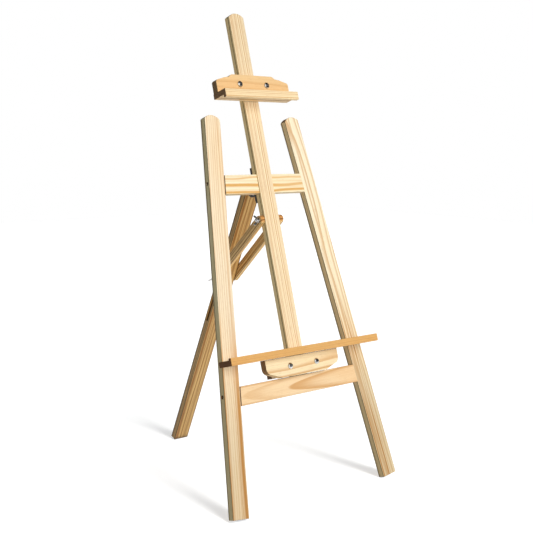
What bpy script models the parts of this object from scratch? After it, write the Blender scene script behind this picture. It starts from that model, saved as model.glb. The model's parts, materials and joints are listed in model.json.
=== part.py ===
"""Tripod field easel in pine: two splayed front legs with two crossbars, a mast, a hinged rear leg with two side
struts, a sliding top clamp and a sliding tray.

Metres, +Z up, +X to the right seen from the front, +Y to the back. The front frame leans back. Its pieces are laid
out in the frame's own axes (x across, y through the thickness, z along the frame) under the empty lean_frame.
"""

import math

import bmesh
import bpy

MM = 0.001

# Overall layout
LEAN = math.radians(17.0)           # front frame from the vertical
REAR_RAKE = math.radians(24.1)      # rear leg from the vertical, the other way
SPLAY = math.atan(0.1265)           # each front leg from the frame's centre line
SHIFT_Y = -0.3940                   # puts the middle of the footprint over the origin
GAP = 0.3 * MM                      # between pieces that touch
EASE = 1.2 * MM                     # eased edges of the boards
LEDGE_EASE = 2.0 * MM               # rounder edges of the tray and the lip
METAL_EASE = 0.5 * MM
PAST = 20 * MM                      # how far a cutter reaches past what it cuts

# Front legs
LEG_WIDE = 58 * MM
LEG_THICK = 24 * MM
FOOT_HALF = 343 * MM                # outer edge of each foot from the centre line
LEG_CREST = 1216 * MM               # crest of the arched top, along the frame
CREST_RISE = 12.5 * MM
CREST_STEPS = 10

# Crossbars: (bottom, top) along the frame
UPPER_BAR = (964 * MM, 1025 * MM)
LOWER_BAR = (320 * MM, 378 * MM)
BAR_FRONT = -3 * MM
BACK_PLANE = 17 * MM                # back of the crossbars and of the mast
LAP_PLANE = 7 * MM                  # where mast and crossbar are halved into each other

# Mast
MAST_WIDE = 58 * MM
MAST_FRONT = -7 * MM
MAST_CREST = 1552 * MM
TONGUE_END = 332 * MM
TONGUE_OVERLAP = 20 * MM
FOOT_SCREW_AT = 355 * MM

# Rear leg and its hinge
REAR_WIDE = 58 * MM
REAR_THICK = 24 * MM
HINGE_Y = 24.3 * MM                 # hinge axis in the frame's axes
HINGE_Z = 1020.5 * MM
LEG_OFFSET = 5.0 * MM               # hinge axis to the rear leg's front face
LEG_BELOW = 3.0 * MM                # rear leg's top below the hinge axis
PLATE_HALF = 29 * MM
PLATE_SPAN = (938 * MM, 1052 * MM)
PLATE_THICK = 2.5 * MM
FLANGE_DEPTH = 6.2 * MM             # side flanges behind the plate
WEB_HALF = 2.6 * MM
KNUCKLE_R = 4.2 * MM
KNUCKLE_HALF = 11.0 * MM            # the leg leaf's knuckle, between the two of the mast plate
KNUCKLE_GAP = 0.4 * MM
PLATE_SCREWS = ((-18, 950), (18, 950), (-18, 1041), (18, 1041))
LEAF_THICK = 2.0 * MM
LEAF_HALF = 27 * MM
LEAF_SHOULDER = 6.5 * MM            # the leaf's full width starts this far below the axis
LEAF_STRAIGHT = 31 * MM
LEAF_END = 72 * MM
LEAF_STEPS = 12
LEAF_SCREWS = ((-17, -22), (17, -22), (0, -60))
PIN_R = 2.0 * MM
PIN_HEAD_R = 3.4 * MM
PIN_SEAT = 29.4 * MM
PIN_HEAD = 1.6 * MM
PIN_TAIL = 30.6 * MM

# Struts
STRUT_UP = (7.0 * MM, 880.0 * MM)   # upper pivot in the frame's axes (y, z)
STRUT_DOWN = 382.4 * MM             # lower pivot along the rear leg, from the hinge axis
STRUT_WIDE = 28 * MM
STRUT_THICK = 17 * MM
STRUT_IN = 29.3 * MM                # inner face from the centre line
STRUT_BOLT_R = 3.0 * MM
STRUT_HEAD = (7.0 * MM, 3.8 * MM)   # radius and height of the bolt's dome
STRUT_WASHER = (8.0 * MM, 1.4 * MM)
STRUT_NUT = 0.92                    # size of the wing nut against the clamps' one
STRUT_NUT_TURN = math.radians(-12)
STRUT_BOLT_TAIL = 12.0 * MM
SLOT_HALF = 5.75 * MM
SLOT_END = 556 * MM                 # lower end of the rear leg's slot, from the hinge axis

# Top clamp and tray
CLAMP_FRONT = (-31.3 * MM, -7.3 * MM)
CLAMP_BACK = (17.3 * MM, 41.3 * MM)
LEDGE_DEPTH = (-70 * MM, -7.3 * MM)
LEDGE_NOSE = 12.4 * MM
LIP_HALF = 148 * MM
LIP_BASE = (1261 * MM, 1279 * MM)
LIP_NOSE = 1252.5 * MM
TRAY_HALF = 304 * MM
TRAY_BASE = (442 * MM, 460 * MM)
TRAY_NOSE = 466 * MM
BACK_HALF = 96 * MM
TOP_BLOCK_SPAN = (1280 * MM, 1338 * MM)
TRAY_BAR_SPAN = (381 * MM, 439 * MM)
TOP_BOLTS = (54 * MM, 1308 * MM)    # across, along
TRAY_BOLTS = (54.5 * MM, 412 * MM)
BOLT_R = 4.0 * MM
BOLT_HEAD = (9.6 * MM, 5.0 * MM)    # radius and height of the dome
BOLT_TAIL = 16 * MM                 # bolt behind the rear block
CLAMP_WASHER = (10.0 * MM, 1.6 * MM)
NUT_TURNS = (("left", -1, math.radians(25)), ("right", 1, math.radians(70)))
DOWEL_X = 95 * MM
DOWEL_R = 3.0 * MM
DOWEL_SPAN = (-12 * MM, 15 * MM)
TRAY_SCREW_X = 110 * MM

# Right half of each shaped board, from its middle outwards, in millimetres
CLAMP_BOARD_HALF = ((80, 1339), (85, 1337), (93, 1331), (112, 1328), (142, 1319), (146, 1314), (146, 1279.3))
TRAY_BLOCK_HALF = ((93, 380), (106, 385), (139, 396.5), (145, 401), (149, 408), (150, 414), (150, 441.7))

# Wing of a nut, from its root round the tip and back, in millimetres
WING = (
    (4.6, 1.6), (7.8, 2.0), (11.5, 5.2), (15.2, 9.6), (17.0, 14.0), (16.4, 17.4), (13.8, 19.0), (11.0, 17.6),
    (8.6, 13.4), (6.6, 9.4), (4.6, 8.4),
)
WING_HALF = 1.5
NUT_HUB = ((5.6, 9.0), (6.4, 7.5), (7.4, 1.2), (7.0, 0.0))

# Screws: radius of the head and of the shank, and length
CROSS_SCREW = (4.4 * MM, 2.6 * MM, 84 * MM)
CROSS_BORE = 6.0 * MM
CROSS_SUNK = 12.0 * MM
CROSS_Y = 12.0 * MM                  # middle of the legs' thickness
FOOT_SCREW = (3.6 * MM, 1.8 * MM, 16 * MM)
HINGE_SCREW = (3.8 * MM, 1.9 * MM, 20 * MM)
TRAY_SCREW = (4.2 * MM, 2.2 * MM, 45 * MM)
FLUSH = 0.3 * MM
HEAD_RIM = 0.5 * MM

ARC_STEPS = 12
ROUND_STEPS = 24
WELD = 0.00001
SHARP = math.radians(35)
FLAT = math.radians(0.1)

BACKWARD = (-math.pi / 2, 0.0, 0.0)
FORWARD = (math.pi / 2, 0.0, 0.0)
LEFTWARD = (0.0, -math.pi / 2, 0.0)
RIGHTWARD = (0.0, math.pi / 2, 0.0)
UPWARD = (0.0, 0.0, 0.0)
THROUGH = {"x": (math.pi / 2, 0.0, math.pi / 2), "y": FORWARD, "z": UPWARD}

FOOT_RAISE = LEG_WIDE * math.sin(SPLAY) * math.cos(LEAN) + LEG_THICK * math.sin(LEAN)
PLATE_BACK = BACK_PLANE + GAP + PLATE_THICK
SIDES = ((-1, "left"), (1, "right"))


# Scene and objects


def clear_scene():
    for obj in list(bpy.data.objects):
        bpy.data.objects.remove(obj)


def make_collection(name, hidden=False):
    found = bpy.data.collections.new(name)
    bpy.context.scene.collection.children.link(found)
    found.hide_render = hidden
    return found


def finish(name, colour, roughness, metallic):
    material = bpy.data.materials.new(name)
    material.use_nodes = True
    shader = material.node_tree.nodes["Principled BSDF"]
    shader.inputs["Base Color"].default_value = (*colour, 1.0)
    shader.inputs["Roughness"].default_value = roughness
    shader.inputs["Metallic"].default_value = metallic
    material.diffuse_color = (*colour, 1.0)
    return material


def place(obj, parent, location=(0.0, 0.0, 0.0), rotation=UPWARD):
    obj.parent = parent
    obj.location = location
    obj.rotation_euler = rotation
    return obj


def empty(name, parent, location=(0.0, 0.0, 0.0), rotation=UPWARD):
    obj = bpy.data.objects.new(name, None)
    parts.objects.link(obj)
    return place(obj, parent, location, rotation)


def add_piece(name, mesh, material):
    """Links a mesh as a piece, or as a cutter where it has no material."""
    obj = bpy.data.objects.new(name, mesh)
    if material is None:
        cutters.objects.link(obj)
        obj.hide_render = True
        obj.display_type = "WIRE"
    else:
        mesh.materials.append(material)
        parts.objects.link(obj)
    return obj


def world_point(y, z):
    """(y, z) in the frame's axes to (y, z) in the world."""
    up = FOOT_RAISE + z * math.cos(LEAN) - y * math.sin(LEAN)
    return z * math.sin(LEAN) + y * math.cos(LEAN) + SHIFT_Y, up


# Outlines


def arc(a, b, radius, start, sweep, steps=ARC_STEPS):
    turns = [start + sweep * k / steps for k in range(steps + 1)]
    return [(a + radius * math.cos(turn), b + radius * math.sin(turn)) for turn in turns]


def round_ended(y, top, bottom, radius):
    """Outline of a slot or of a round-ended bar; top and bottom are the centres of its ends."""
    return arc(y, top, radius, 0.0, math.pi) + arc(y, bottom, radius, math.pi, math.pi)


def arched_board(width, foot, crest):
    """Outline of a board whose top end is a shallow arch."""
    half = width / 2
    radius = (half * half + CREST_RISE * CREST_RISE) / (2 * CREST_RISE)
    reach = math.asin(half / radius)
    top = arc(0.0, crest - radius, radius, math.pi / 2 - reach, 2 * reach, CREST_STEPS)
    return [(-half, foot), (half, foot)] + top


def mirrored(half_outline):
    """Closed outline in metres from its right half in millimetres."""
    right = [(x * MM, z * MM) for x, z in half_outline]
    left = [(-x, z) for x, z in reversed(right)]
    return right + left


# Basic shapes


def block(name, x, y, z, material, parent):
    """A box between the (low, high) pairs, in the parent's axes."""
    spans = (x, y, z)
    bm = bmesh.new()
    corners = bmesh.ops.create_cube(bm, size=1.0)["verts"]
    bmesh.ops.scale(bm, verts=corners, vec=[high - low for low, high in spans])
    bmesh.ops.translate(bm, verts=corners, vec=[(low + high) / 2 for low, high in spans])
    mesh = bpy.data.meshes.new(name)
    bm.to_mesh(mesh)
    bm.free()
    return place(add_piece(name, mesh, material), parent)


def outlined(name, outline, axis, span, material, parent):
    """A flat piece: its outline in the two other axes of the parent, and its (low, high) along the given one."""
    low, high = span
    curve = bpy.data.curves.new(name, "CURVE")
    curve.dimensions = "2D"
    curve.fill_mode = "BOTH"
    curve.extrude = (high - low) / 2
    spline = curve.splines.new("POLY")
    spline.points.add(len(outline) - 1)
    for point, (a, b) in zip(spline.points, outline):
        point.co = (a, b, 0.0, 1.0)
    spline.use_cyclic_u = True
    sketch = bpy.data.objects.new(name + "_outline", curve)
    parts.objects.link(sketch)
    middle = [0.0, 0.0, 0.0]
    middle["xyz".index(axis)] = (low + high) / 2
    place(sketch, parent, middle, THROUGH[axis])
    bpy.context.view_layer.update()
    graph = bpy.context.evaluated_depsgraph_get()
    mesh = bpy.data.meshes.new_from_object(sketch.evaluated_get(graph))
    bm = bmesh.new()
    bm.from_mesh(mesh)
    bmesh.ops.remove_doubles(bm, verts=bm.verts, dist=WELD)
    bmesh.ops.dissolve_limit(bm, angle_limit=FLAT, verts=bm.verts, edges=bm.edges)
    bmesh.ops.recalc_face_normals(bm, faces=bm.faces)
    bm.to_mesh(mesh)
    bm.free()
    obj = add_piece(name, mesh, material)
    obj.parent = parent
    obj.matrix_world = sketch.matrix_world
    bpy.data.objects.remove(sketch)
    return obj


def turned(name, profile, material, parent, location, rotation, steps=ROUND_STEPS):
    """A round piece about its local Z. profile lists (radius, height) from its top to its bottom."""
    bm = bmesh.new()
    points = [(0.0, profile[0][1])] + list(profile) + [(0.0, profile[-1][1])]
    line = [bm.verts.new((r, 0.0, z)) for r, z in points]
    for a, b in zip(line, line[1:]):
        bm.edges.new((a, b))
    mesh = bpy.data.meshes.new(name)
    bm.to_mesh(mesh)
    bm.free()
    obj = add_piece(name, mesh, material)
    spin = obj.modifiers.new("turn", "SCREW")
    spin.axis = "Z"
    spin.steps = steps
    spin.render_steps = steps
    spin.use_merge_vertices = True
    spin.merge_threshold = WELD
    spin.use_smooth_shade = True
    return place(obj, parent, location, rotation)


def rod(name, radius, span, parent, location, rotation, sides=ROUND_STEPS):
    """A hidden cylinder about its local Z, to cut with or to join."""
    low, high = span
    bm = bmesh.new()
    ends = bmesh.ops.create_cone(
        bm, cap_ends=True, segments=sides, radius1=radius, radius2=radius, depth=high - low
    )["verts"]
    bmesh.ops.translate(bm, verts=ends, vec=(0.0, 0.0, (low + high) / 2))
    mesh = bpy.data.meshes.new(name)
    bm.to_mesh(mesh)
    bm.free()
    return place(add_piece(name, mesh, None), parent, location, rotation)


# Modifiers


def ease(obj, width=EASE, segments=2):
    bevel = obj.modifiers.new("eased_edges", "BEVEL")
    bevel.width = width
    bevel.segments = segments
    bevel.limit_method = "ANGLE"
    bevel.angle_limit = SHARP
    return obj


def combine(obj, other, operation):
    joint = obj.modifiers.new(other.name[:50], "BOOLEAN")
    joint.operation = operation
    joint.solver = "EXACT"
    joint.object = other


def cut(pieces, cutter):
    for obj in pieces:
        combine(obj, cutter, "DIFFERENCE")


def join(obj, other):
    combine(obj, other, "UNION")


# Boards of the front frame


def front_leg(name, side):
    """A splayed front leg. side is -1 for the left leg and +1 for the right one."""
    half = LEG_WIDE / 2
    foot = (side * (FOOT_HALF - half * math.cos(SPLAY)), 0.0, -half * math.sin(SPLAY))
    axes = empty(name + "_axes", lean_frame, foot, (0.0, -side * SPLAY, 0.0))
    length = LEG_CREST / math.cos(SPLAY) + half * math.sin(SPLAY)
    outline = arched_board(LEG_WIDE, 0.0, length)
    return ease(outlined(name, outline, "y", (0.0, LEG_THICK), pine_leg, axes))


def inner_edge(z):
    """Half distance between the front legs' inner sides at height z along the frame."""
    return FOOT_HALF - LEG_WIDE / math.cos(SPLAY) - z * math.tan(SPLAY)


def crossbar(name, span):
    low, high = span
    a = inner_edge(low) - GAP
    b = inner_edge(high) - GAP
    outline = [(-a, low), (a, low), (b, high), (-b, high)]
    return ease(outlined(name, outline, "y", (BAR_FRONT, BACK_PLANE), pine_bar, lean_frame))


def build_mast(upper, lower):
    """The mast, halved over the upper crossbar and let into the lower one with a tongue."""
    half = MAST_WIDE / 2
    foot = LOWER_BAR[1] + GAP
    outline = arched_board(MAST_WIDE, foot, MAST_CREST)
    mast = ease(outlined("mast", outline, "y", (MAST_FRONT, BACK_PLANE), pine_mast, lean_frame))
    tongue_span = (TONGUE_END, foot + TONGUE_OVERLAP)
    join(mast, block("mast_tongue", (-half, half), (LAP_PLANE, BACK_PLANE), tongue_span, None, lean_frame))
    wide = (-half - PAST, half + PAST)
    lap_span = (UPPER_BAR[0] - GAP, UPPER_BAR[1] + GAP)
    cut([mast], block("mast_lap", wide, (LAP_PLANE - GAP / 2, BACK_PLANE + PAST), lap_span, None, lean_frame))
    snug = (-half - GAP, half + GAP)
    bar_span = (UPPER_BAR[0] - PAST, UPPER_BAR[1] + PAST)
    cut([upper], block("bar_lap", snug, (BAR_FRONT - PAST, LAP_PLANE + GAP / 2), bar_span, None, lean_frame))
    socket_span = (TONGUE_END - GAP, LOWER_BAR[1] + PAST)
    cut([lower], block("bar_socket", snug, (LAP_PLANE - GAP, BACK_PLANE + PAST), socket_span, None, lean_frame))
    return mast


# Fasteners


def countersunk(name, sizes, pieces, parent, location, rotation, sunk=FLUSH, bore=None, steps=16):
    """A countersunk screw whose head faces local +Z at z = -sunk, and the hole that it needs in the pieces."""
    head_r, shank_r, length = sizes
    top = -sunk
    neck = top - HEAD_RIM - (head_r - shank_r)
    tip = top - length
    profile = [
        (head_r, top), (head_r, top - HEAD_RIM), (shank_r, neck), (shank_r, tip + 2 * shank_r), (GAP, tip),
    ]
    screw = turned(name, profile, steel, parent, location, rotation, steps)
    wide = head_r + GAP
    slim = shank_r + GAP
    hole = [(wide, PAST), (wide, top - HEAD_RIM), (slim, neck), (slim, tip - GAP)]
    if bore:
        hole = [(bore, PAST), (bore, top - HEAD_RIM)] + hole[1:]
    cut(pieces, turned(name + "_hole", hole, None, parent, location, rotation, steps))
    long = (-head_r * 0.55, head_r * 0.55)
    narrow = (-head_r * 0.1, head_r * 0.1)
    depth = (top - head_r * 0.45, top + PAST)
    for x, y, word in ((long, narrow, "a"), (narrow, long, "b")):
        cut([screw], block(f"{name}_drive_{word}", x, y, depth, None, screw))
    return screw


def dome_bolt(name, radius, head, length, parent, location, rotation):
    """A bolt with a domed head above local z = 0, a hexagonal socket in it and its shank below."""
    head_r, head_high = head
    rim = 0.25 * head_high
    dome = [(head_r * math.cos(t), rim + (head_high - rim) * math.sin(t)) for t in [
        math.radians(80 - 80 * k / 6) for k in range(7)
    ]]
    chamfer = 0.8 * MM
    profile = dome + [(head_r, 0.0), (radius, 0.0), (radius, chamfer - length), (radius - chamfer, -length)]
    bolt = turned(name, profile, steel, parent, location, rotation)
    socket = rod(name + "_socket", radius * 0.8, (head_high * 0.25, head_high + PAST), bolt, (0, 0, 0), UPWARD, 6)
    cut([bolt], socket)
    return bolt


def washer(name, hole_r, sizes, parent, location, rotation):
    """A flat ring on local z = 0 with its hole along Z."""
    outer, thick = sizes
    ring = turned(name, [(outer, thick), (outer, 0.0)], steel, parent, location, rotation)
    cut([ring], rod(name + "_hole", hole_r, (-PAST, thick + PAST), ring, (0, 0, 0), UPWARD))
    return ring


def wing_nut(name, bolt_r, size, parent, location, rotation, turn):
    """A wing nut whose bearing face is local z = 0; the wings rise along +Z on both sides of the hub."""
    unit = size * MM
    nut = turned(name, [(r * unit, z * unit) for r, z in NUT_HUB], steel, parent, location, rotation)
    axes = empty(name + "_wing_axes", nut, rotation=(0.0, 0.0, turn))
    for side, word in SIDES:
        shape = [(side * x * unit, z * unit) for x, z in WING]
        wing = outlined(f"{name}_{word}_wing", shape, "y", (-WING_HALF * unit, WING_HALF * unit), None, axes)
        join(nut, ease(wing, METAL_EASE, 1))
    cut([nut], rod(name + "_hole", bolt_r + GAP, (-PAST, 2 * PAST), nut, (0, 0, 0), UPWARD))
    return nut


clear_scene()
parts = make_collection("tripod_field_easel")
cutters = make_collection("cutters", hidden=True)

pine_leg = finish("pine_leg", (0.80, 0.60, 0.36), 0.55, 0.0)
pine_bar = finish("pine_bar", (0.82, 0.62, 0.38), 0.55, 0.0)
pine_mast = finish("pine_mast", (0.83, 0.61, 0.38), 0.55, 0.0)
pine_rear = finish("pine_rear", (0.66, 0.46, 0.26), 0.58, 0.0)
pine_block = finish("pine_block", (0.82, 0.61, 0.35), 0.55, 0.0)
pine_ledge = finish("pine_ledge", (0.80, 0.54, 0.29), 0.55, 0.0)
beech_dowel = finish("beech_dowel", (0.72, 0.52, 0.33), 0.6, 0.0)
black_steel = finish("black_steel", (0.03, 0.03, 0.032), 0.42, 0.6)
steel = finish("zinc_steel", (0.74, 0.73, 0.70), 0.28, 1.0)

lean_frame = empty("lean_frame", None, (0.0, SHIFT_Y, FOOT_RAISE), (-LEAN, 0.0, 0.0))

# Front frame
left_leg = front_leg("left_front_leg", -1)
right_leg = front_leg("right_front_leg", 1)
upper_bar = crossbar("upper_crossbar", UPPER_BAR)
lower_bar = crossbar("lower_crossbar", LOWER_BAR)
mast = build_mast(upper_bar, lower_bar)

for side, word, leg in ((-1, "left", left_leg), (1, "right", right_leg)):
    for bar, span, level in ((upper_bar, UPPER_BAR, "upper"), (lower_bar, LOWER_BAR, "lower")):
        middle = (span[0] + span[1]) / 2 + LEG_WIDE * math.sin(SPLAY)
        outer = FOOT_HALF - middle * math.tan(SPLAY)
        countersunk(
            f"{word}_{level}_screw", CROSS_SCREW, [leg, bar], lean_frame,
            (side * outer, CROSS_Y, middle), (0.0, side * (math.pi / 2 - SPLAY), 0.0),
            CROSS_SUNK, CROSS_BORE,
        )

countersunk(
    "mast_foot_screw", FOOT_SCREW, [mast, lower_bar], lean_frame, (0.0, BACK_PLANE, FOOT_SCREW_AT), BACKWARD
)

# Hinge bracket on the mast
plate_front = BACK_PLANE + GAP
flange_back = PLATE_BACK + FLANGE_DEPTH
flange_in = PLATE_HALF - PLATE_THICK
channel = [
    (-PLATE_HALF, plate_front), (PLATE_HALF, plate_front), (PLATE_HALF, flange_back), (flange_in, flange_back),
    (flange_in, PLATE_BACK), (-flange_in, PLATE_BACK), (-flange_in, flange_back), (-PLATE_HALF, flange_back),
]
hinge_plate = ease(
    outlined("hinge_mast_plate", channel, "z", PLATE_SPAN, black_steel, lean_frame), METAL_EASE, 1
)
hinge_line = (0.0, HINGE_Y, HINGE_Z)
for side, word in SIDES:
    knuckle_x = sorted((side * (KNUCKLE_HALF + KNUCKLE_GAP), side * (PLATE_HALF - METAL_EASE)))
    web_z = (HINGE_Z - WEB_HALF, HINGE_Z + WEB_HALF)
    join(hinge_plate, block(word + "_web", knuckle_x, (PLATE_BACK - METAL_EASE, HINGE_Y), web_z, None, lean_frame))
    join(hinge_plate, rod(word + "_knuckle", KNUCKLE_R, knuckle_x, lean_frame, hinge_line, RIGHTWARD))
pin_span = (-PLATE_HALF - PAST, PLATE_HALF + PAST)
cut([hinge_plate], rod("plate_pin_hole", PIN_R + GAP, pin_span, lean_frame, hinge_line, RIGHTWARD))
turned(
    "hinge_pin",
    [
        (PIN_R + 0.9 * MM, PIN_SEAT + PIN_HEAD), (PIN_HEAD_R, PIN_SEAT + PIN_HEAD / 2), (PIN_HEAD_R, PIN_SEAT),
        (PIN_R, PIN_SEAT), (PIN_R, 0.6 * MM - PIN_TAIL), (PIN_R - 0.6 * MM, -PIN_TAIL),
    ],
    steel, lean_frame, hinge_line, RIGHTWARD,
)
for k, (x, z) in enumerate(PLATE_SCREWS):
    spot = (x * MM, PLATE_BACK, z * MM)
    countersunk(f"plate_screw_{k + 1}", HINGE_SCREW, [hinge_plate, mast], lean_frame, spot, BACKWARD)

# Rear leg, in its own axes: z up along the leg from the hinge axis, y to the back
hinge_y, hinge_z = world_point(HINGE_Y, HINGE_Z)
rear_frame = empty("rear_leg_hinge", None, (0.0, hinge_y, hinge_z), (REAR_RAKE, 0.0, 0.0))
leg_back = LEG_OFFSET + REAR_THICK
rear_foot = (hinge_z + LEG_OFFSET * math.sin(REAR_RAKE)) / math.cos(REAR_RAKE)
rear_leg = ease(block(
    "rear_leg", (-REAR_WIDE / 2, REAR_WIDE / 2), (LEG_OFFSET, leg_back), (-rear_foot, -LEG_BELOW), pine_rear,
    rear_frame,
))
slot_y = (LEG_OFFSET + leg_back) / 2
slot_top = -STRUT_DOWN - SLOT_HALF + STRUT_BOLT_R + GAP
slot_outline = round_ended(slot_y, slot_top, SLOT_HALF - SLOT_END, SLOT_HALF)
slot_span = (-REAR_WIDE / 2 - PAST, REAR_WIDE / 2 + PAST)
cut([rear_leg], outlined("rear_slot", slot_outline, "x", slot_span, None, rear_frame))

# Hinge leaf on the rear leg
leaf_back = LEG_OFFSET - GAP
leaf_front = leaf_back - LEAF_THICK
leaf_side = [(KNUCKLE_HALF, 0.0), (KNUCKLE_HALF, -LEAF_SHOULDER), (LEAF_HALF, -LEAF_SHOULDER)]
leaf_end = [
    (LEAF_HALF * math.cos(turn), -LEAF_STRAIGHT - (LEAF_END - LEAF_STRAIGHT) * math.sin(turn))
    for turn in [math.pi * k / LEAF_STEPS for k in range(LEAF_STEPS + 1)]
]
leaf_outline = leaf_side + leaf_end + [(-x, z) for x, z in reversed(leaf_side)]
hinge_leaf = outlined("hinge_leg_leaf", leaf_outline, "y", (leaf_front, leaf_back), black_steel, rear_frame)
leaf_knuckle = rod("leaf_knuckle", KNUCKLE_R, (-KNUCKLE_HALF, KNUCKLE_HALF), rear_frame, (0, 0, 0), RIGHTWARD)
join(hinge_leaf, leaf_knuckle)
cut([hinge_leaf], rod("leaf_pin_hole", PIN_R + GAP, pin_span, rear_frame, (0, 0, 0), RIGHTWARD))
for k, (x, z) in enumerate(LEAF_SCREWS):
    spot = (x * MM, leaf_front, z * MM)
    countersunk(f"leaf_screw_{k + 1}", HINGE_SCREW, [hinge_leaf, rear_leg], rear_frame, spot, FORWARD)

# Struts, in their own axes: z up along the strut from the lower pivot to the upper one
up_y, up_z = world_point(*STRUT_UP)
down_y = hinge_y + slot_y * math.cos(REAR_RAKE) + STRUT_DOWN * math.sin(REAR_RAKE)
down_z = hinge_z + slot_y * math.sin(REAR_RAKE) - STRUT_DOWN * math.cos(REAR_RAKE)
strut_length = math.hypot(down_y - up_y, down_z - up_z)
strut_turn = math.atan2(down_y - up_y, up_z - down_z)
strut_frame = empty("strut_pivot", None, (0.0, up_y, up_z), (strut_turn, 0.0, 0.0))
strut_outline = round_ended(0.0, 0.0, -strut_length, STRUT_WIDE / 2)
struts = []
for side, word in SIDES:
    span = sorted((side * STRUT_IN, side * (STRUT_IN + STRUT_THICK)))
    struts.append(ease(outlined(word + "_strut", strut_outline, "x", span, pine_rear, strut_frame)))

seat = STRUT_IN + STRUT_THICK + GAP
head_seat = seat + STRUT_WASHER[1] + GAP
strut_hole = STRUT_BOLT_R + GAP
pivots = (
    ("strut_upper", lean_frame, STRUT_UP[0], STRUT_UP[1], struts + [mast]),
    ("strut_lower", strut_frame, 0.0, -strut_length, struts),
)
for word, parent, y, z, pieces in pivots:
    cut(pieces, rod(word + "_hole", strut_hole, (-seat - PAST, seat + PAST), parent, (0.0, y, z), RIGHTWARD))
    dome_bolt(
        word + "_bolt", STRUT_BOLT_R, STRUT_HEAD, 2 * head_seat + STRUT_BOLT_TAIL, parent, (head_seat, y, z),
        RIGHTWARD,
    )
    washer(word + "_washer_right", strut_hole, STRUT_WASHER, parent, (seat, y, z), RIGHTWARD)
    washer(word + "_washer_left", strut_hole, STRUT_WASHER, parent, (-seat, y, z), LEFTWARD)
    wing_nut(
        word + "_wing_nut", STRUT_BOLT_R, STRUT_NUT, parent, (-head_seat, y, z), LEFTWARD, STRUT_NUT_TURN
    )

# Top clamp
top_frame = empty("top_clamp_slide", None, (0.0, SHIFT_Y, FOOT_RAISE), (-LEAN, 0.0, 0.0))
nose_back = LEDGE_DEPTH[0] + LEDGE_NOSE
clamp_board = ease(
    outlined("top_clamp_board", mirrored(CLAMP_BOARD_HALF), "y", CLAMP_FRONT, pine_block, top_frame)
)
lip_profile = [
    (LEDGE_DEPTH[0], LIP_NOSE), (nose_back, LIP_NOSE), (nose_back, LIP_BASE[0]), (LEDGE_DEPTH[1], LIP_BASE[0]),
    (LEDGE_DEPTH[1], LIP_BASE[1]), (LEDGE_DEPTH[0], LIP_BASE[1]),
]
clamp_lip = ease(
    outlined("top_clamp_lip", lip_profile, "x", (-LIP_HALF, LIP_HALF), pine_block, top_frame), LEDGE_EASE, 3
)
clamp_block = ease(
    block("top_clamp_rear_block", (-BACK_HALF, BACK_HALF), CLAMP_BACK, TOP_BLOCK_SPAN, pine_block, top_frame)
)

# Tray
tray_frame = empty("tray_slide", None, (0.0, SHIFT_Y, FOOT_RAISE), (-LEAN, 0.0, 0.0))
tray_profile = [
    (LEDGE_DEPTH[0], TRAY_BASE[0]), (LEDGE_DEPTH[1], TRAY_BASE[0]), (LEDGE_DEPTH[1], TRAY_BASE[1]),
    (nose_back, TRAY_BASE[1]), (nose_back, TRAY_NOSE), (LEDGE_DEPTH[0], TRAY_NOSE),
]
tray = ease(
    outlined("tray", tray_profile, "x", (-TRAY_HALF, TRAY_HALF), pine_ledge, tray_frame), LEDGE_EASE, 3
)
tray_block = ease(
    outlined("tray_front_block", mirrored(TRAY_BLOCK_HALF), "y", CLAMP_FRONT, pine_block, tray_frame)
)
tray_bar = ease(
    block("tray_rear_bar", (-BACK_HALF, BACK_HALF), CLAMP_BACK, TRAY_BAR_SPAN, pine_block, tray_frame)
)

# Bolts, washers and wing nuts that pinch each pair of boards on the mast
clamps = (
    ("top_clamp", top_frame, TOP_BOLTS, [clamp_board, clamp_block]),
    ("tray", tray_frame, TRAY_BOLTS, [tray_block, tray_bar]),
)
bolt_length = CLAMP_BACK[1] - CLAMP_FRONT[0] + BOLT_TAIL
for word, parent, (x, z), pieces in clamps:
    for hand, side, turn in NUT_TURNS:
        name = f"{word}_{hand}"
        front = (side * x, CLAMP_FRONT[0] - GAP, z)
        washer_seat = (side * x, CLAMP_BACK[1] + GAP, z)
        nut_seat = (side * x, CLAMP_BACK[1] + 2 * GAP + CLAMP_WASHER[1], z)
        cut(pieces, rod(name + "_hole", BOLT_R + GAP, (-bolt_length, PAST / 2), parent, front, FORWARD))
        dome_bolt(name + "_bolt", BOLT_R, BOLT_HEAD, bolt_length, parent, front, FORWARD)
        washer(name + "_washer", BOLT_R + GAP, CLAMP_WASHER, parent, washer_seat, BACKWARD)
        wing_nut(name + "_wing_nut", BOLT_R, 1.0, parent, nut_seat, BACKWARD, turn)

# Dowels and screws that hold the two ledges to their boards
ledge_y = (CLAMP_FRONT[0] + CLAMP_FRONT[1]) / 2
low, high = DOWEL_SPAN
tip = 0.5 * MM
for side, hand in SIDES:
    spot = (side * DOWEL_X, ledge_y, LIP_BASE[1])
    peg = [(DOWEL_R - tip, high), (DOWEL_R, high - tip), (DOWEL_R, low + tip), (DOWEL_R - tip, low)]
    turned(f"lip_{hand}_dowel", peg, beech_dowel, top_frame, spot, UPWARD, 16)
    dowel_hole = rod(f"lip_{hand}_dowel_hole", DOWEL_R + GAP, (low - GAP, high + GAP), top_frame, spot, UPWARD, 16)
    cut([clamp_board, clamp_lip], dowel_hole)
    countersunk(
        f"tray_{hand}_screw", TRAY_SCREW, [tray, tray_block], tray_frame,
        (side * TRAY_SCREW_X, ledge_y, TRAY_BASE[1]), UPWARD,
    )
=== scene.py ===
"""Looks of the tripod field easel: procedural pine, beech, zinc-plated steel and black enamelled
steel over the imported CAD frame, on a pale studio floor."""

import json
import math

import bpy
from mathutils import Matrix, Vector


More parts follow.
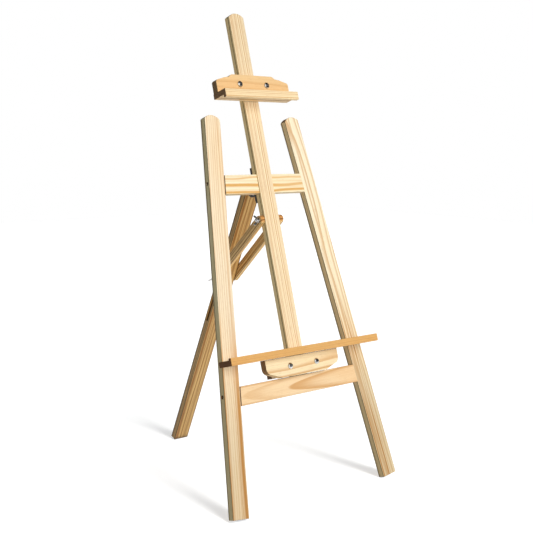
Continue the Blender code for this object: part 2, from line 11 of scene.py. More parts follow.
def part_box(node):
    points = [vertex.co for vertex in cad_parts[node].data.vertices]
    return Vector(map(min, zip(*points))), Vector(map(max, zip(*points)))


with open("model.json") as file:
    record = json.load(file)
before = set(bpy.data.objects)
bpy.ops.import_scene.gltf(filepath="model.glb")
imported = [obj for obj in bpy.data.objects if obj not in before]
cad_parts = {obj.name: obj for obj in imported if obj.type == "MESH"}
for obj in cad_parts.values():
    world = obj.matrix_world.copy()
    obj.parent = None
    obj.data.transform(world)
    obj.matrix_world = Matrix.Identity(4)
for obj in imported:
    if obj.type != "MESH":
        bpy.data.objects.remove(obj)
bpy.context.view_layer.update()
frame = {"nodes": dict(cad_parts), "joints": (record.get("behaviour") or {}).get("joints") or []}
NODES = frame["nodes"]
JOINTS = {joint["name"]: joint for joint in frame["joints"]}

X_AXIS = Vector((1.0, 0.0, 0.0))
FRAME_UP = Vector(JOINTS["tray_slide"]["axis"]).normalized()


# ---------------------------------------------------------------- node tree helpers


class Tree:
    """A short way to write the node tree of a material or of the world."""

    def __init__(self, owner):
        owner.use_nodes = True
        self.owner = owner
        self.nodes = owner.node_tree.nodes
        self.links = owner.node_tree.links

    def put(self, socket, value):
        """Links an input to an output, or gives it a plain value."""
        if isinstance(value, bpy.types.NodeSocket):
            self.links.new(value, socket)
        else:
            socket.default_value = value

    def add(self, kind, inputs=None, **settings):
        made = self.nodes.new(kind)
        for key, value in settings.items():
            setattr(made, key, value)
        for key, value in (inputs or {}).items():
            self.put(made.inputs[key], value)
        return made

    def set(self, name, value):
        """Sets one input of the material's surface shader."""
        self.put(self.nodes["Principled BSDF"].inputs[name], value)

    def math(self, operation, a, b=0.0, clamp=False):
        made = self.add("ShaderNodeMath", {0: a, 1: b}, operation=operation, use_clamp=clamp)
        return made.outputs[0]

    def plus(self, a, b, clamp=False):
        return self.math("ADD", a, b, clamp)

    def minus(self, a, b):
        return self.math("SUBTRACT", a, b)

    def times(self, a, b, clamp=False):
        return self.math("MULTIPLY", a, b, clamp)

    def vector(self, operation, a, b=(0.0, 0.0, 0.0)):
        made = self.add("ShaderNodeVectorMath", {0: a, 1: b}, operation=operation)
        return made.outputs["Value" if operation in ("LENGTH", "DOT_PRODUCT") else "Vector"]

    def noise(self, vector, scale, detail=2.0, roughness=0.5, output="Fac"):
        inputs = {"Vector": vector, "Scale": scale, "Detail": detail, "Roughness": roughness}
        return self.add("ShaderNodeTexNoise", inputs).outputs[output]

    def noise_along(self, distance, scale, detail):
        """Noise over one length instead of over space."""
        inputs = {"W": distance, "Scale": scale, "Detail": detail}
        return self.add("ShaderNodeTexNoise", inputs, noise_dimensions="1D").outputs["Fac"]

    def grain(self, point, pattern, seed, output="Fac"):
        """One of the wood's noises, drawn out along the board and moved by the board's seed."""
        stretch, detail, roughness, shift = pattern
        if any(shift):
            point = self.vector("ADD", point, [seed * step for step in shift])
        return self.noise(self.vector("MULTIPLY", point, stretch), 1.0, detail, roughness, output)

    def ramp(self, value, low, high):
        """0 at low, 1 at high and smooth in between; low may be the larger one."""
        inputs = {"Value": value, "From Min": low, "From Max": high}
        made = self.add("ShaderNodeMapRange", inputs, interpolation_type="SMOOTHSTEP")
        return made.outputs["Result"]

    def mix(self, factor, a, b):
        """Colour a at factor 0, colour b at factor 1."""
        made = self.add("ShaderNodeMix", data_type="RGBA")
        factor_in, a_in, b_in = made.inputs[0], made.inputs[6], made.inputs[7]
        self.put(factor_in, factor)
        for socket, colour in ((a_in, a), (b_in, b)):
            linked = isinstance(colour, bpy.types.NodeSocket)
            self.put(socket, colour if linked else (*colour, 1.0))
        return made.outputs[2]

    def bump(self, height, distance, strength):
        inputs = {"Height": height, "Distance": distance, "Strength": strength}
        self.set("Normal", self.add("ShaderNodeBump", inputs).outputs["Normal"])


def looks(name):
    return Tree(bpy.data.materials.new(name))


def toned(colour, tone):
    """A colour with each channel scaled by the tone's."""
    return [channel * share for channel, share in zip(colour, tone)]


EDGE_SAMPLES = 6
EDGE_TURN = (0.02, 0.35)  # 1 minus the cosine between the rounded and the flat normal

# Painted shade in hollows and seams: reach in metres, then the open share of the sky at which the
# shade starts and is full.
CREVICE_SHADE_LEVELS = ((0.012, 0.62, 0.30), (0.035, 0.55, 0.25))
CREVICE_SHADE_SAMPLES = 8
CREVICE_SHADE_DEPTH = 0.95
CREVICE_SHADE_COLOUR = (0.012, 0.007, 0.004)


def edge_mask(tree, radius):
    """1 along convex and concave edges, 0 on flat faces."""
    rounded = tree.add("ShaderNodeBevel", {"Radius": radius}, samples=EDGE_SAMPLES)
    flat = tree.add("ShaderNodeNewGeometry")
    agreement = tree.vector("DOT_PRODUCT", rounded.outputs["Normal"], flat.outputs["Normal"])
    return tree.ramp(tree.minus(1.0, agreement), *EDGE_TURN)


def crevice_shade(tree):
    """Painted shade: highest inside bores and slots and along the seams where boards meet, 0 on
    open faces.
    """
    depth = 0.0
    for reach, start, full in CREVICE_SHADE_LEVELS:
        sky = tree.add("ShaderNodeAmbientOcclusion", {"Distance": reach}, samples=CREVICE_SHADE_SAMPLES)
        depth = tree.math("MAXIMUM", depth, tree.ramp(sky.outputs["AO"], start, full))
    return tree.times(depth, CREVICE_SHADE_DEPTH)


# ---------------------------------------------------------------- pine

# Noise in the wood: cycles per metre along the board's x, y and z, detail, roughness, and how far
# the board's seed moves it along each axis.
WANDER = ((4.0, 4.0, 1.6), 1.0, 0.5, (1.0, 0.7, 1.3))
LUMPS = ((22.0, 22.0, 5.0), 2.0, 0.5, (3.1, 0.0, 1.0))
STREAK = ((420.0, 420.0, 3.5), 3.0, 0.6, (0.0, 0.0, 0.0))
HAIR = ((1500.0, 1500.0, 26.0), 2.0, 0.6, (0.0, 0.0, 0.0))
CANAL = ((900.0, 900.0, 45.0), 1.0, 0.5, (1.0, 0.0, 0.0))
CLOUD = ((9.0, 9.0, 2.4), 2.0, 0.5, (0.0, 1.0, 1.0))
PORES = ((1300.0, 1300.0, 200.0), 2.0, 0.5, (0.0, 0.0, 0.0))
WEAR = ((60.0, 60.0, 22.0), 3.0, 0.6, (0.0, 0.0, 0.0))

# Growth rings. The late wood's rise and fall are shares of one ring.
WANDER_REACH = 0.034
LUMP_REACH = 0.0045
RING_DRIFT = 0.37
RING_SPREAD = 1.6
LATE_RISE = (0.42, 0.88)
LATE_FALL = (0.92, 1.0)
RING_VARIETY = 0.65
RING_LEAST = 0.4

# The part of each noise that shows, and how strongly.
FIBRE_RANGE = (0.25, 0.75)
CANAL_RANGE = (0.66, 0.74)
CLOUD_RANGE = (0.3, 0.7)
BLUSH_RANGE = (0.45, 0.75)
WEAR_RANGE = (0.35, 0.7)
STREAK_SHARE = 0.6
HAIR_SHARE = 0.4
FIBRE_DEPTH = 0.34
CANAL_DEPTH = 0.35
END_RINGS = 0.6
END_PORES = 0.4
WEAR_DEPTH = 0.32
PINE_EDGE = 0.0022

# How square to an axis a face has to be, as a cosine.
END_TURN = (0.35, 0.7)
SIDE_TURN = (0.5, 0.8)

# Tones of the board's light colour, then of its dark colour.
CLOUD_TONE = (1.0, 0.93, 0.83)
BLUSH_TONE = (0.97, 0.80, 0.72)
STAIN_TONE = (0.60, 0.54, 0.42)
END_TONE = (0.22, 0.15, 0.12)
# The narrow sides' tone is painted shade, standing in for the dim light on them.
SIDE_SHADE_TONE = (0.70, 0.72, 0.50)
STAIN_LATE_TONE = (0.55, 0.55, 0.55)
FIBRE_TONE = (0.86, 0.74, 0.62)
CANAL_TONE = (0.62, 0.46, 0.34)
END_LATE_TONE = (0.10, 0.08, 0.10)
SIDE_LINE_TONE = (0.30, 0.42, 0.60)
RUBBED_TONE = (0.8, 0.66, 0.5)

# Dark lines on the narrow sides: place in y, half width and strength.
SIDE_BANDS = ((-0.0105, 0.0016, 1.0), (0.0085, 0.0028, 0.9))
SIDE_SWAY = 0.0015
SIDE_SEED = 5.0

# Wide streaks: scale and detail of the noise that moves them and of the one that fades them.
PATH_NOISE = (3.2, 2.0)
FADE_NOISE = (2.1, 1.0)
PATH_STEP = 3.7
FADE_STEP = 9.1
FADE_RANGE = (0.12, 0.45)
BAND_CORE = 0.35
BAND_RIM = 1.5
LOWER_HALF = (0.12, -0.22)  # metres along the board from its middle, where a low band ends

# Surface: roughness, gloss, the planer's ripples and the relief.
ROUGH_BASE = 0.47
ROUGH_FIBRES = 0.12
ROUGH_RINGS = 0.10
ROUGH_END = 0.25
PINE_SPECULAR = 0.38
PLANER = {"Scale": 38.0, "Distortion": 1.2, "Detail": 1.0}
RELIEF_FIBRES = 0.55
RELIEF_RINGS = 0.35
RELIEF_PLANER = 0.06
PINE_RELIEF = (0.00035, 0.55)  # height in metres and strength


def streaks(tree, base, x, z, bands, sway, seed):
    """Lays wide streaks over a pattern; each wanders on its own and comes and goes along z.

    A band is (x, half width, strength). A fourth value keeps it to the board's lower half.
    """
    for k, (at, half_width, strength, *low) in enumerate(bands):
        path = tree.noise_along(tree.plus(z, seed + PATH_STEP * k), *PATH_NOISE)
        centre = tree.plus(at, tree.times(tree.minus(path, 0.5), 2 * sway))
        away = tree.math("ABSOLUTE", tree.minus(x, centre))
        shape = tree.minus(1.0, tree.ramp(away, half_width * BAND_CORE, half_width * BAND_RIM))
        fade = tree.noise_along(tree.plus(z, seed * 2.0 + FADE_STEP * k), *FADE_NOISE)
        amount = tree.times(tree.ramp(fade, *FADE_RANGE), strength)
        if low:
            amount = tree.times(amount, tree.ramp(z, *LOWER_HALF))
        base = tree.math("MAXIMUM", base, tree.times(shape, amount))
    return base


def pine(name, origin, across, along, pith, ring, light, dark, seed, contrast=1.0,
         tilt=(0.0, 0.0), wave=1.0, blush=0.15, bands=(), sway=0.008, stain=(), grey=0.0,
         end_tint=END_TONE, side_tint=SIDE_SHADE_TONE):
    """Planed pine cut from a log. Board axes: x across the face, y through it, z with the grain.

    pith is where the log's centre lies in the board's x and y, ring is the distance between
    growth rings, tilt leans the log so that its rings run out along the board, and wave is how
    much they wave. light and dark are the early and the late wood, contrast is how strongly the
    rings show, and blush is how pink the wood is in patches. bands lists wide heartwood streaks
    for streaks(), and sway is how far they wander. stain is (amount, start, full): how much the
    wood darkens along z, and where that starts and is full. grey is how much the narrow sides
    take side_tint, a painted shade standing in for the dim light on them, and end_tint is the
    tone of the end grain.
    """
    tree = looks(name)
    along = along.normalized()
    across = (across - along * across.dot(along)).normalized()
    turn = Matrix((across, along.cross(across), along))
    coords = tree.add("ShaderNodeTexCoord")
    place = {
        "Vector": coords.outputs["Object"],
        "Location": -(turn @ origin),
        "Rotation": turn.to_euler("XYZ"),
    }
    point = tree.add("ShaderNodeMapping", place).outputs["Vector"]
    split = tree.add("ShaderNodeSeparateXYZ", {0: point})
    x, y, z = (split.outputs[axis] for axis in "XYZ")

    def swing(pattern, reach):
        """Moves the rings sideways by up to half the reach."""
        noise = tree.vector("SUBTRACT", tree.grain(point, pattern, seed, "Color"), (0.5, 0.5, 0.5))
        return tree.vector("MULTIPLY", noise, (reach * wave, reach * wave, 0.0))

    def square_to(axis, reach):
        """1 on the faces that are square to an axis of the board, 0 on the others."""
        facing = tree.vector("DOT_PRODUCT", coords.outputs["Normal"], tuple(axis))
        return tree.ramp(tree.math("ABSOLUTE", facing), *reach)

    # The log's centre line wanders and leans, so the rings wave and run out along the board.
    lean = {"X": tree.times(z, tilt[0]), "Y": tree.times(z, tilt[1])}
    lean = tree.add("ShaderNodeCombineXYZ", lean).outputs["Vector"]
    centred = tree.vector("ADD", tree.vector("SUBTRACT", point, (*pith, 0.0)), lean)
    swung = tree.vector("ADD", swing(WANDER, WANDER_REACH), swing(LUMPS, LUMP_REACH))
    section = tree.vector("MULTIPLY", tree.vector("ADD", centred, swung), (1.0, 1.0, 0.0))
    radius = tree.vector("LENGTH", section)

    # Rings of uneven width; pale early wood fades into orange late wood, which ends sharply.
    uneven = tree.noise_along(tree.times(radius, RING_DRIFT / ring), 1.0, 1.0)
    count = tree.plus(tree.math("DIVIDE", radius, ring), tree.times(uneven, RING_SPREAD))
    whole = tree.math("FLOOR", count)
    part = tree.minus(count, whole)
    each = tree.add("ShaderNodeTexWhiteNoise", {"W": whole}, noise_dimensions="1D")
    strength = tree.plus(tree.times(each.outputs["Value"], RING_VARIETY), RING_LEAST)
    late = tree.times(tree.ramp(part, *LATE_RISE), tree.minus(1.0, tree.ramp(part, *LATE_FALL)))
    rings = tree.times(tree.times(late, strength), contrast, clamp=True)
    rings = streaks(tree, rings, x, z, bands, sway, seed)

    # Fibres, fine streaks and resin canals run with the grain.
    streak = tree.ramp(tree.grain(point, STREAK, seed), *FIBRE_RANGE)
    hair = tree.ramp(tree.grain(point, HAIR, seed), *FIBRE_RANGE)
    fibres = tree.plus(tree.times(streak, STREAK_SHARE), tree.times(hair, HAIR_SHARE))
    canals = tree.times(tree.ramp(tree.grain(point, CANAL, seed), *CANAL_RANGE), CANAL_DEPTH)
    cloud = tree.grain(point, CLOUD, seed)

    early = tree.mix(tree.ramp(cloud, *CLOUD_RANGE), light, toned(light, CLOUD_TONE))
    late_tone = dark
    if stain:
        amount, start, full = stain
        reached = tree.times(tree.ramp(z, start, full), amount)
        early = tree.mix(reached, early, toned(light, STAIN_TONE))
        late_tone = tree.mix(reached, dark, toned(dark, STAIN_LATE_TONE))
    patches = tree.times(tree.ramp(cloud, *BLUSH_RANGE), blush)
    face = tree.mix(rings, tree.mix(patches, early, toned(light, BLUSH_TONE)), late_tone)
    gaps = tree.times(tree.minus(1.0, fibres), FIBRE_DEPTH)
    face = tree.mix(gaps, face, toned(dark, FIBRE_TONE))
    face = tree.mix(canals, face, toned(dark, CANAL_TONE))

    # The narrow sides show two dark lines over a painted shade: a duller tone that stands
    # in for the dim light on them.
    beside = square_to(across, SIDE_TURN)
    lines = streaks(tree, 0.0, y, z, SIDE_BANDS, SIDE_SWAY, seed + SIDE_SEED)
    sides = tree.mix(tree.times(beside, grey), face, toned(light, side_tint))
    sides = tree.mix(tree.times(beside, lines), sides, toned(dark, SIDE_LINE_TONE))

    # End grain drinks light: darker, browner and rougher than the faces.
    end = square_to(along, END_TURN)
    pores = tree.grain(point, PORES, seed)
    end_marks = tree.plus(tree.times(rings, END_RINGS), tree.times(pores, END_PORES))
    end_grain = tree.mix(end_marks, toned(light, end_tint), toned(dark, END_LATE_TONE))
    body = tree.mix(end, sides, end_grain)

    # Edges are rubbed: a little darker where hands and the saw have been.
    worn = tree.ramp(tree.grain(point, WEAR, seed), *WEAR_RANGE)
    edges = tree.times(tree.times(edge_mask(tree, PINE_EDGE), worn), WEAR_DEPTH)
    rubbed = tree.mix(edges, body, toned(dark, RUBBED_TONE))
    # Painted shade darkens the bores, slots and seams between boards.
    tree.set("Base Color", tree.mix(crevice_shade(tree), rubbed, CREVICE_SHADE_COLOUR))

    rough = tree.plus(ROUGH_BASE, tree.times(fibres, ROUGH_FIBRES))
    rough = tree.minus(rough, tree.times(rings, ROUGH_RINGS))
    tree.set("Roughness", tree.plus(rough, tree.times(end, ROUGH_END), clamp=True))
    tree.set("Specular IOR Level", PINE_SPECULAR)

    planer = tree.add(
        "ShaderNodeTexWave", {"Vector": point, **PLANER}, wave_type="BANDS", bands_direction="Z",
    ).outputs["Fac"]
    ridges = tree.plus(tree.times(rings, RELIEF_RINGS), tree.times(planer, RELIEF_PLANER))
    relief = tree.plus(tree.times(fibres, RELIEF_FIBRES), ridges)
    tree.bump(tree.minus(relief, tree.plus(canals, tree.times(end, pores))), *PINE_RELIEF)
    return tree.owner


# ---------------------------------------------------------------- steel and beech

# Noise over the metal: scale, detail and roughness.
ZINC_CLOUD = (170.0, 3.0, 0.6)
ZINC_SPECK = (1400.0, 2.0, 0.6)
ZINC_SCRATCH = ((900.0, 2600.0, 900.0), 2.0, 0.7, (0.0, 0.0, 0.0))  # as the wood's noises
ZINC_CLOUD_RANGE = (0.35, 0.65)
ZINC_SPECK_RANGE = (0.55, 0.75)
ZINC_WARM = (0.74, 0.73, 0.70)
ZINC_COOL = (0.48, 0.49, 0.51)
ZINC_DULL = (0.34, 0.33, 0.31)
ZINC_BRIGHT = (0.86, 0.85, 0.82)
ZINC_SPECK_DEPTH = 0.4
ZINC_EDGE = 0.0005
ZINC_EDGE_DEPTH = 0.5
ZINC_ROUGH = (0.10, 0.20, 0.08)  # everywhere, from the clouds and from the scratches
ZINC_RELIEF = (0.00004, 0.5)

ENAMEL_PEEL = (900.0, 2.0)
ENAMEL_DUST = (60.0, 4.0, 0.65)
ENAMEL_CHIPS = (420.0, 3.0, 0.6)
ENAMEL_DUST_RANGE = (0.4, 0.75)
ENAMEL_CHIPS_RANGE = (0.45, 0.6)
ENAMEL_BLACK = (0.012, 0.012, 0.013)
ENAMEL_DUSTY = (0.035, 0.033, 0.030)
ENAMEL_BARE = (0.30, 0.28, 0.26)
ENAMEL_EDGE = 0.0009
ENAMEL_BARE_METAL = 0.9
ENAMEL_ROUGH = (0.32, 0.25)  # everywhere and from the dust
ENAMEL_RELIEF = (0.00006, 0.6)

BEECH_FLECK = ((900.0, 900.0, 120.0), 2.0, 0.5, (0.0, 0.0, 0.0))
BEECH_FLECK_RANGE = (0.45, 0.7)
BEECH_TAN = (0.60, 0.40, 0.24)
BEECH_BROWN = (0.34, 0.19, 0.10)
BEECH_ROUGH = (0.5, 0.2)  # everywhere and from the flecks
BEECH_RELIEF = (0.0001, 0.4)


def zinc_steel():
    """Bright zinc plating: fine tumbling scratches, cloudy dullness, a warm and a cool tint."""
    tree = looks("zinc_steel_looks")
    coords = tree.add("ShaderNodeTexCoord").outputs["Object"]
    cloud = tree.noise(coords, *ZINC_CLOUD)
    scratch = tree.grain(coords, ZINC_SCRATCH, 0.0)
    speck = tree.noise(coords, *ZINC_SPECK)
    tint = tree.mix(tree.ramp(cloud, *ZINC_CLOUD_RANGE), ZINC_WARM, ZINC_COOL)
    dulled = tree.times(tree.ramp(speck, *ZINC_SPECK_RANGE), ZINC_SPECK_DEPTH)
    rubbed = tree.times(edge_mask(tree, ZINC_EDGE), ZINC_EDGE_DEPTH)
    tree.set("Base Color", tree.mix(rubbed, tree.mix(dulled, tint, ZINC_DULL), ZINC_BRIGHT))
    tree.set("Metallic", 1.0)
    base, clouds, scratches = ZINC_ROUGH
    rough = tree.plus(base, tree.times(cloud, clouds))
    tree.set("Roughness", tree.plus(rough, tree.times(scratch, scratches)))
    tree.bump(tree.plus(scratch, speck), *ZINC_RELIEF)
    return tree.owner


def black_steel():
    """Black enamel with a fine orange peel, dusty in places, rubbed to bare steel on edges."""
    tree = looks("black_steel_looks")
    coords = tree.add("ShaderNodeTexCoord").outputs["Object"]
    peel = tree.noise(coords, *ENAMEL_PEEL)
    dust = tree.noise(coords, *ENAMEL_DUST)
    chips = tree.ramp(tree.noise(coords, *ENAMEL_CHIPS), *ENAMEL_CHIPS_RANGE)
    enamel = tree.mix(tree.ramp(dust, *ENAMEL_DUST_RANGE), ENAMEL_BLACK, ENAMEL_DUSTY)
    bare = tree.times(edge_mask(tree, ENAMEL_EDGE), chips)
    tree.set("Base Color", tree.mix(bare, enamel, ENAMEL_BARE))
    tree.set("Metallic", tree.times(bare, ENAMEL_BARE_METAL))
    base, dusty = ENAMEL_ROUGH
    tree.set("Roughness", tree.plus(base, tree.times(dust, dusty)))
    tree.bump(peel, *ENAMEL_RELIEF)
    return tree.owner


def beech():
    """Turned beech dowel: short dark flecks on an even tan ground."""
    tree = looks("beech_looks")
    coords = tree.add("ShaderNodeTexCoord").outputs["Object"]
    fleck = tree.grain(coords, BEECH_FLECK, 0.0)
    tree.set("Base Color", tree.mix(tree.ramp(fleck, *BEECH_FLECK_RANGE), BEECH_TAN, BEECH_BROWN))
    base, flecks = BEECH_ROUGH
    tree.set("Roughness", tree.plus(base, tree.times(fleck, flecks)))
    tree.bump(fleck, *BEECH_RELIEF)
    return tree.owner


# ---------------------------------------------------------------- which piece wears what

CREAM = (0.90, 0.82, 0.63)
PALE = (0.93, 0.89, 0.69)
LIP_CREAM = (0.91, 0.79, 0.53)
CLAMP_CREAM = (0.82, 0.61, 0.34)
LOW_CREAM = (0.85, 0.67, 0.43)
TRAY_CREAM = (0.74, 0.455, 0.17)
BLOCK_CREAM = (0.89, 0.79, 0.54)
REAR_CREAM = (0.67, 0.47, 0.20)
STRUT_CREAM = (1.0, 0.74, 0.35)
ORANGE = (0.56, 0.28, 0.08)
BAR_ORANGE = (0.70, 0.40, 0.13)
TRAY_ORANGE = (0.50, 0.23, 0.07)
REAR_ORANGE = (0.28, 0.13, 0.03)
STRUT_END = (0.80, 0.50, 0.32)
BLOCK_END = (0.38, 0.26, 0.18)
CLAMP_END = (0.30, 0.27, 0.24)
LIP_END = (0.28, 0.20, 0.15)
# Painted shade for the narrow sides of the mast and the right leg.
MAST_SIDE_SHADE = (0.95, 0.78, 0.48)
STRUT_BANDS = ((-0.008, 0.0015, 1.0), (0.003, 0.001, 1.0), (0.0095, 0.0012, 1.0))

SPLAY = math.atan(0.1265)
LEFT_UP = FRAME_UP * math.cos(SPLAY) + X_AXIS * math.sin(SPLAY)
RIGHT_UP = FRAME_UP * math.cos(SPLAY) - X_AXIS * math.sin(SPLAY)
REAR_RAKE = math.radians(24.1)
REAR_UP = Vector((0.0, -math.sin(REAR_RAKE), math.cos(REAR_RAKE)))
UPPER_BOLT = Vector(JOINTS["strut_fold"]["pos_m"])
LOWER_BOLT = Vector(JOINTS["strut_lower_nut_spin"]["pos_m"])
STRUT_UP = (UPPER_BOLT - LOWER_BOLT).normalized()
STRUT_ACROSS = Vector((0.0, 1.0, 1.0))


def dress(node, material):
    """Puts one material on a CAD node's slots."""
    obj = NODES[node]
    if not obj.data.materials:
        obj.data.materials.append(material)
    for slot in obj.material_slots:
        slot.material = material


def board(node, across, along, **wood):
    """Dresses one board in its own pine, cut around the middle of the board."""
    low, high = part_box(node)
    origin = (Vector(low) + Vector(high)) / 2
    dress(node, pine(node + "_pine", origin, across, along, **wood))


board("left_front_leg", X_AXIS, LEFT_UP, pith=(0.060, 0.030), ring=0.0075,
      light=CREAM, dark=ORANGE, seed=1.3, contrast=0.6,
      bands=((-0.0275, 0.0030, 1.0, 1), (0.010, 0.0012, 0.8, 1), (0.0215, 0.0065, 1.0, 1),
             (0.016, 0.002, 0.5)),
      sway=0.0025, stain=(0.68, 0.05, -0.60), blush=0.3, grey=0.7)
board("right_front_leg", X_AXIS, RIGHT_UP, pith=(-0.030, 0.055), ring=0.0085,
      light=PALE, dark=ORANGE, seed=4.1, contrast=0.8,
      bands=((-0.025, 0.0030, 1.0, 1), (-0.003, 0.0034, 1.0, 1), (0.005, 0.001, 0.8, 1),
             (-0.012, 0.003, 0.6)),
      sway=0.003, stain=(0.72, 0.10, -0.50), grey=0.5, side_tint=MAST_SIDE_SHADE)
board("mast", X_AXIS, FRAME_UP, pith=(0.25, 0.04), ring=0.0058,
      light=PALE, dark=ORANGE, seed=2.2, wave=0.25, contrast=0.9,
      bands=((-0.022, 0.002, 0.5), (-0.006, 0.0015, 0.5), (0.014, 0.002, 0.5)),
      sway=0.002, blush=0.3, stain=(0.3, 0.30, 0.60), grey=0.7, side_tint=MAST_SIDE_SHADE)
board("upper_crossbar", FRAME_UP, X_AXIS, pith=(0.10, 0.06), ring=0.013,
      light=PALE, dark=BAR_ORANGE, seed=5.7, wave=0.6, contrast=0.4,
      bands=((0.020, 0.003, 0.7), (-0.004, 0.005, 1.0), (-0.024, 0.004, 1.0)),
      sway=0.009, blush=0.0)
board("lower_crossbar", FRAME_UP, X_AXIS, pith=(0.0, 0.0514), ring=0.014,
      light=LOW_CREAM, dark=ORANGE, seed=3.4, tilt=(0.0, 0.05), contrast=0.8,
      bands=((0.027, 0.003, 0.5), (-0.027, 0.003, 0.5)), sway=0.002, wave=0.35, blush=0.5)
board("rear_leg", X_AXIS, REAR_UP, pith=(0.05, 0.05), ring=0.0065,
      light=REAR_CREAM, dark=REAR_ORANGE, seed=6.2,
      bands=((-0.022, 0.006, 1.0), (-0.004, 0.0015, 1.0), (0.010, 0.003, 0.8),
             (0.026, 0.002, 1.0)),
      sway=0.002)
for node, pith, seed in (("left_strut", (0.05, 0.02), 7.7), ("right_strut", (0.04, 0.03), 8.9)):
    board(node, STRUT_ACROSS, STRUT_UP, pith=pith, ring=0.005, light=STRUT_CREAM,
          dark=REAR_ORANGE, seed=seed, end_tint=STRUT_END, bands=STRUT_BANDS, sway=0.001)
board("top_clamp_board", FRAME_UP, X_AXIS, pith=(0.03, 0.07), ring=0.008,
      light=CLAMP_CREAM, dark=ORANGE, seed=9.5, contrast=0.4, wave=0.7, blush=0.4,
      end_tint=CLAMP_END)
board("top_clamp_lip", FRAME_UP, X_AXIS, pith=(0.10, 0.02), ring=0.006,
      light=LIP_CREAM, dark=ORANGE, seed=10.4, contrast=0.8, wave=0.4, end_tint=LIP_END)
board("top_clamp_rear_block", FRAME_UP, X_AXIS, pith=(0.02, 0.06), ring=0.007,
      light=CREAM, dark=ORANGE, seed=11.8)
board("tray", FRAME_UP, X_AXIS, pith=(0.12, 0.02), ring=0.004,
      light=TRAY_CREAM, dark=TRAY_ORANGE, seed=12.6, wave=0.3, contrast=0.7)
board("tray_front_block", FRAME_UP, X_AXIS, pith=(0.02, 0.12), ring=0.007,
      light=BLOCK_CREAM, dark=ORANGE, seed=13.9, contrast=0.9, wave=0.4, end_tint=BLOCK_END)
board("tray_rear_bar", FRAME_UP, X_AXIS, pith=(0.04, 0.05), ring=0.007,
      light=CREAM, dark=ORANGE, seed=14.3)

ENAMELLED = ("hinge_mast_plate", "hinge_leg_leaf")
CROSS_SCREWS = ("upper_screw", "lower_screw")
PLATED = ("screw", "bolt", "washer", "wing_nut", "pin")

steel = zinc_steel()
enamel = black_steel()
for node in NODES:
    if node in ENAMELLED or node.endswith(CROSS_SCREWS):
        dress(node, enamel)
    elif any(word in node for word in PLATED):
        dress(node, steel)
for node in ("lip_left_dowel", "lip_right_dowel"):
    dress(node, beech())


# ---------------------------------------------------------------- floor, light and camera

FLOOR_HALF = 9.0
FLOOR_MOTTLE = (0.8, 2.0)  # scale and detail
FLOOR_DARKER = (0.84, 0.84, 0.84)
FLOOR_PALER = (0.87, 0.87, 0.87)
FLOOR_ROUGH = 0.9
FLOOR_SPECULAR = 0.1
FLOOR_GLOW = 0.235
GLOW_COLOUR = (0.85, 0.92, 1.0, 1.0)

ROOM_LIGHT = 0.30
ROOM_COLOUR = (1.0, 0.985, 0.96)
WHITE = (1.0, 1.0, 1.0)

# Soft boxes that metal mirrors: direction, reach in degrees, glow outside and glow inside. The
# first one's glow outside is the dark room's.
BOXES = (((-0.2, -0.9, 0.45), 20.0, 0.05, 2.2), ((-0.95, 0.1, 0.15), 16.0, 0.0, 0.9))
BOX_RIM = (1.15, 0.85)

KEY_STRENGTH = 1.2
FILL_STRENGTH = 1.75
PAPER_STRENGTH = 2.25
BOUNCE_STRENGTH = 0.9
BACK_STRENGTH = 1.7
KEY_SPREAD = math.radians(32.0)
PAPER_SPREAD = math.radians(17.5)
KEY_COLOUR = (1.0, 0.99, 0.97)
PAPER_COLOUR = (1.0, 0.99, 0.98)
BOUNCE_COLOUR = (1.0, 0.88, 0.72)
KEY_FROM = Vector((0.0, -1.0, 0.65))
BOUNCE_FROM = Vector((0.0, -0.5, -1.0))
BACK_FROM = Vector((0.7, 1.0, 0.1))
LEGS = ("left_front_leg", "right_front_leg", "rear_leg")

CAMERA_AT = Vector((-1.9391, -2.4557, 1.1069))
CAMERA_YAW = math.radians(39.4273)
CAMERA_PITCH = math.radians(-10.3157)
CAMERA_ROLL = math.radians(0.6162)
SENSOR_MM = 36.0
FOCAL_WIDTHS = 1.7838701689  # focal length in widths of the picture
SHIFT = (0.0082187617, 0.0845217636)  # in widths of the picture
CLIP_END = 60.0


def build_floor():
    """Pale studio paper. It stays out of diffuse bounces, so that shaded sides keep their depth."""
    half = FLOOR_HALF
    corners = [(-half, -half, 0), (half, -half, 0), (half, half, 0), (-half, half, 0)]
    mesh = bpy.data.meshes.new("studio_floor")
    mesh.from_pydata(corners, [], [(0, 1, 2, 3)])
    floor = bpy.data.objects.new("studio_floor", mesh)
    bpy.context.scene.collection.objects.link(floor)
    floor.visible_diffuse = False
    tree = looks("studio_paper")
    coords = tree.add("ShaderNodeTexCoord").outputs["Object"]
    mottle = tree.noise(coords, *FLOOR_MOTTLE)
    tree.set("Base Color", tree.mix(mottle, FLOOR_DARKER, FLOOR_PALER))
    tree.set("Roughness", FLOOR_ROUGH)
    tree.set("Specular IOR Level", FLOOR_SPECULAR)
    tree.set("Emission Color", GLOW_COLOUR)
    tree.set("Emission Strength", FLOOR_GLOW)
    mesh.materials.append(tree.owner)
    return floor


def background(tree, colour, strength):
    inputs = {"Color": (*colour, 1.0), "Strength": strength}
    return tree.add("ShaderNodeBackground", inputs).outputs["Background"]


def shader_mix(tree, factor, a, b):
    return tree.add("ShaderNodeMixShader", {0: factor, 1: a, 2: b}).outputs["Shader"]


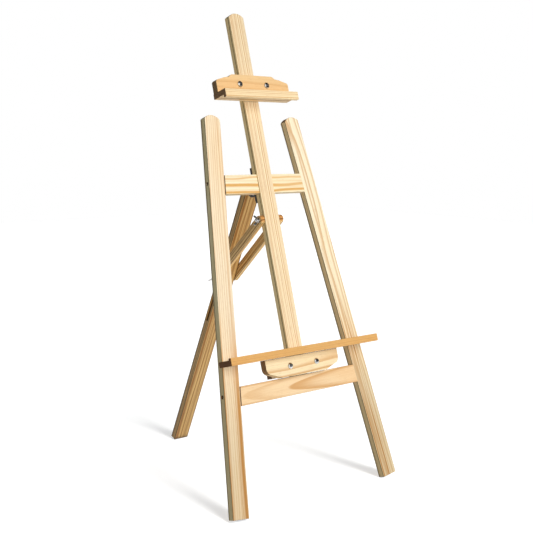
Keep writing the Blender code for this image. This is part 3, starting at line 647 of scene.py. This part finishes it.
def soft_boxes(tree):
    """What bright metal mirrors: a dark room with a round soft box for each entry of BOXES."""
    sky = tree.add("ShaderNodeTexCoord").outputs["Generated"]
    glows = []
    for toward, reach, outside, inside in BOXES:
        start, full = (math.cos(math.radians(reach * share)) for share in BOX_RIM)
        inputs = {
            "Value": tree.vector("DOT_PRODUCT", sky, Vector(toward).normalized()),
            "From Min": start, "From Max": full, "To Min": outside, "To Max": inside,
        }
        glow = tree.add("ShaderNodeMapRange", inputs, interpolation_type="SMOOTHSTEP")
        glows.append(glow.outputs["Result"])
    return tree.plus(*glows)


def group(name, members):
    """A collection for light linking."""
    made = bpy.data.collections.new(name)
    for obj in members:
        made.objects.link(obj)
    return made


def sun(name, strength, toward, spread, colour=KEY_COLOUR, shadow=True):
    data = bpy.data.lights.new(name, "SUN")
    data.angle = spread
    data.energy = strength
    data.color = colour
    data.use_shadow = shadow
    lamp = bpy.data.objects.new(name, data)
    lamp.rotation_euler = toward.to_track_quat("Z", "Y").to_euler()
    lamp.visible_glossy = False
    bpy.context.scene.collection.objects.link(lamp)
    return lamp


def build_light(floor):
    """Suns from the front, below and behind, a dim room around them, and a white background."""
    world = bpy.data.worlds.new("studio")
    tree = Tree(world)
    room = background(tree, ROOM_COLOUR, ROOM_LIGHT)
    mirrored = background(tree, ROOM_COLOUR, soft_boxes(tree))
    paper = background(tree, WHITE, 1.0)
    path = tree.add("ShaderNodeLightPath")
    lit = shader_mix(tree, path.outputs["Is Glossy Ray"], room, mirrored)
    seen = shader_mix(tree, path.outputs["Is Camera Ray"], lit, paper)
    tree.put(tree.nodes["World Output"].inputs["Surface"], seen)
    bpy.context.scene.world = world

    # One direction for three: a soft key, a shadowless fill, and a key for the floor alone, on
    # which only the legs cast shadows.
    sun("key", KEY_STRENGTH, KEY_FROM, KEY_SPREAD)
    sun("front_fill", FILL_STRENGTH, KEY_FROM, KEY_SPREAD, shadow=False)
    paper_key = sun("paper_key", PAPER_STRENGTH, KEY_FROM, PAPER_SPREAD, PAPER_COLOUR)
    linking = paper_key.light_linking
    linking.receiver_collection = group("paper_key_receivers", [floor])
    linking.blocker_collection = group("paper_key_blockers", [NODES[name] for name in LEGS])
    sun("floor_bounce", BOUNCE_STRENGTH, BOUNCE_FROM, KEY_SPREAD, BOUNCE_COLOUR, shadow=False)

    # Light from behind, for the easel alone.
    back_fill = sun("back_fill", BACK_STRENGTH, BACK_FROM, KEY_SPREAD, shadow=False)
    back_fill.light_linking.receiver_collection = group("back_fill_receivers", NODES.values())


def build_camera():
    data = bpy.data.cameras.new("camera")
    data.sensor_width = SENSOR_MM
    data.lens = SENSOR_MM * FOCAL_WIDTHS
    data.shift_x, data.shift_y = SHIFT
    data.clip_end = CLIP_END
    camera = bpy.data.objects.new("camera", data)
    ahead = Vector((
        math.sin(CAMERA_YAW) * math.cos(CAMERA_PITCH),
        math.cos(CAMERA_YAW) * math.cos(CAMERA_PITCH),
        math.sin(CAMERA_PITCH),
    ))
    level = Vector((math.cos(CAMERA_YAW), -math.sin(CAMERA_YAW), 0.0))
    above = level.cross(ahead)
    right = level * math.cos(CAMERA_ROLL) + above * math.sin(CAMERA_ROLL)
    top = above * math.cos(CAMERA_ROLL) - level * math.sin(CAMERA_ROLL)
    turned = Matrix((right, top, -ahead)).transposed().to_4x4()
    camera.matrix_world = Matrix.Translation(CAMERA_AT) @ turned
    bpy.context.scene.collection.objects.link(camera)
    bpy.context.scene.camera = camera


build_light(build_floor())
build_camera()
view = bpy.context.scene.view_settings
view.view_transform = "Standard"
view.look = "None"
view.exposure = 0.0
